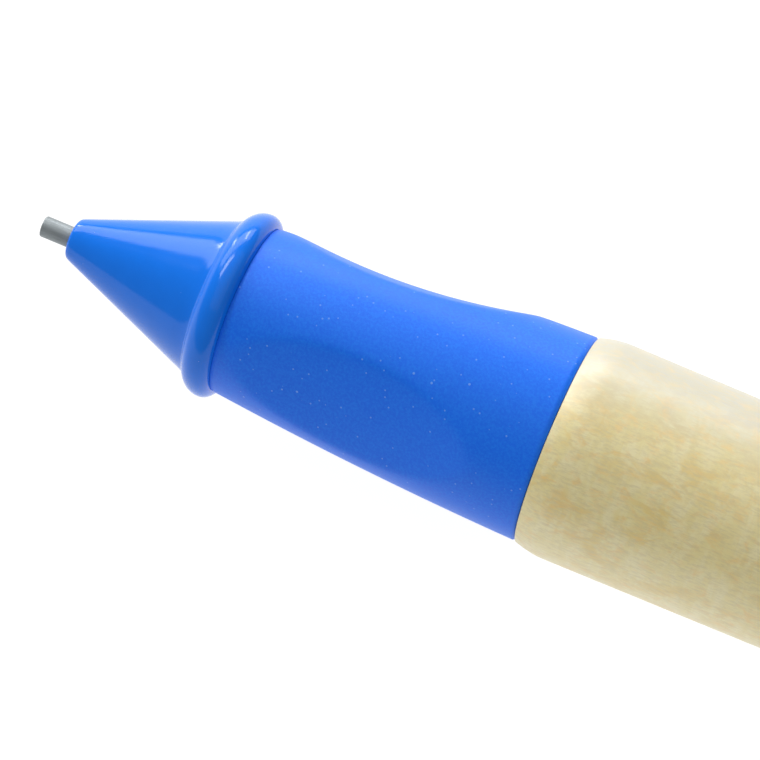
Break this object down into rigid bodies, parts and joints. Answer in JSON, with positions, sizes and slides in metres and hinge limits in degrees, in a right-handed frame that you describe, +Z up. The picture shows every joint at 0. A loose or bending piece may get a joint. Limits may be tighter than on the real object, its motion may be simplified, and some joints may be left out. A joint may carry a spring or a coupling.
{
  "type": "mechanical pencil",
  "caption": "Learner's mechanical pencil with a thick lead, glossy beaded nose cone, soft grip with finger recesses, wooden barrel, anti-roll collar and push button over an eraser.",
  "frame": {"origin": "on the table under the middle of the pencil's length", "axes": "+X along the pencil from the writing end to the push button, +Z up, the axis level"},
  "size_m": [0.137, 0.0162, 0.0146],
  "materials": {
    "lead": "satin graphite",
    "blue_gloss": "glossy moulded blue plastic",
    "blue_soft": "matte soft-touch blue rubber",
    "maple": "lacquered pale maple",
    "core_plastic": "natural moulded plastic",
    "brass": "turned brass",
    "steel": "drawn spring steel",
    "tube_plastic": "smooth drawn plastic tube",
    "retainer_rubber": "matte black rubber",
    "eraser_white": "matte white vinyl"
  },
  "bodies": {
    "handle": {"barrel": "maple", "core_tube": "core_plastic", "grip_sleeve": "blue_soft", "tail_collar": "blue_gloss", "clutch_sleeve": "brass", "guide_bush": "core_plastic", "return_spring": "steel"},
    "nose_carrier": {"lead_retainer": "retainer_rubber"},
    "nose": {"nose_cone": "blue_gloss"},
    "ring": {"clutch_ring": "brass"},
    "push_train": {"chuck_stem": "brass", "connector": "core_plastic", "lead_tube": "tube_plastic", "spare_leads": "lead"},
    "jaw_1": {"chuck_jaw_1": "brass"},
    "jaw_2": {"chuck_jaw_2": "brass"},
    "jaw_3": {"chuck_jaw_3": "brass"},
    "eraser_unit": {"eraser_holder": "core_plastic", "eraser": "eraser_white"},
    "cap": {"push_button": "blue_gloss"},
    "lead_stick": {"lead": "lead"}
  },
  "joints": [
    {"name": "push", "type": "slide", "parent": "handle", "child": "push_train", "axis": [-1, 0, 0], "range_m": [0, 0.0032], "stiffness_N_per_m": 700, "springref_m": -0.0012, "deforming": ["return_spring"]},
    {"name": "ring_shift", "type": "slide", "parent": "handle", "child": "ring", "axis": [-1, 0, 0], "range_m": [0, 0.00092]},
    {"name": "jaw_1_open", "type": "hinge", "parent": "push_train", "child": "jaw_1", "pos_m": [-0.04897, 0, 0.00836], "axis": [0, 1, 0], "range_deg": [0, 2.6]},
    {"name": "jaw_2_open", "type": "hinge", "parent": "push_train", "child": "jaw_2", "pos_m": [-0.04897, -0.00094, 0.00674], "axis": [0, -0.5, 0.866], "range_deg": [0, 2.6]},
    {"name": "jaw_3_open", "type": "hinge", "parent": "push_train", "child": "jaw_3", "pos_m": [-0.04897, 0.00094, 0.00674], "axis": [0, -0.5, -0.866], "range_deg": [0, 2.6]},
    {"name": "nose_travel", "type": "slide", "parent": "handle", "child": "nose_carrier", "axis": [-1, 0, 0], "range_m": [0, 0.0055]},
    {"name": "nose_turn", "type": "hinge", "parent": "nose_carrier", "child": "nose", "pos_m": [-0.05407, 0, 0.00728], "axis": [-1, 0, 0], "range_deg": [0, 1800.5]},
    {"name": "lead_feed", "type": "slide", "parent": "handle", "child": "lead_stick", "axis": [-1, 0, 0], "range_m": [-0.0021, 0.006]},
    {"name": "eraser_pull", "type": "slide", "parent": "push_train", "child": "eraser_unit", "axis": [1, 0, 0], "range_m": [0, 0.012]},
    {"name": "cap_pull", "type": "slide", "parent": "eraser_unit", "child": "cap", "axis": [1, 0, 0], "range_m": [0, 0.016]}
  ],
  "couplings": [
    {"joint": "ring_shift", "follows": "push", "ratio": 0.28125},
    {"joint": "jaw_1_open", "follows": "push", "rad_per_m": 13.635},
    {"joint": "jaw_2_open", "follows": "push", "rad_per_m": 13.635},
    {"joint": "jaw_3_open", "follows": "push", "rad_per_m": 13.635},
    {"joint": "nose_turn", "follows": "nose_travel", "rad_per_m": 5712}
  ]
}
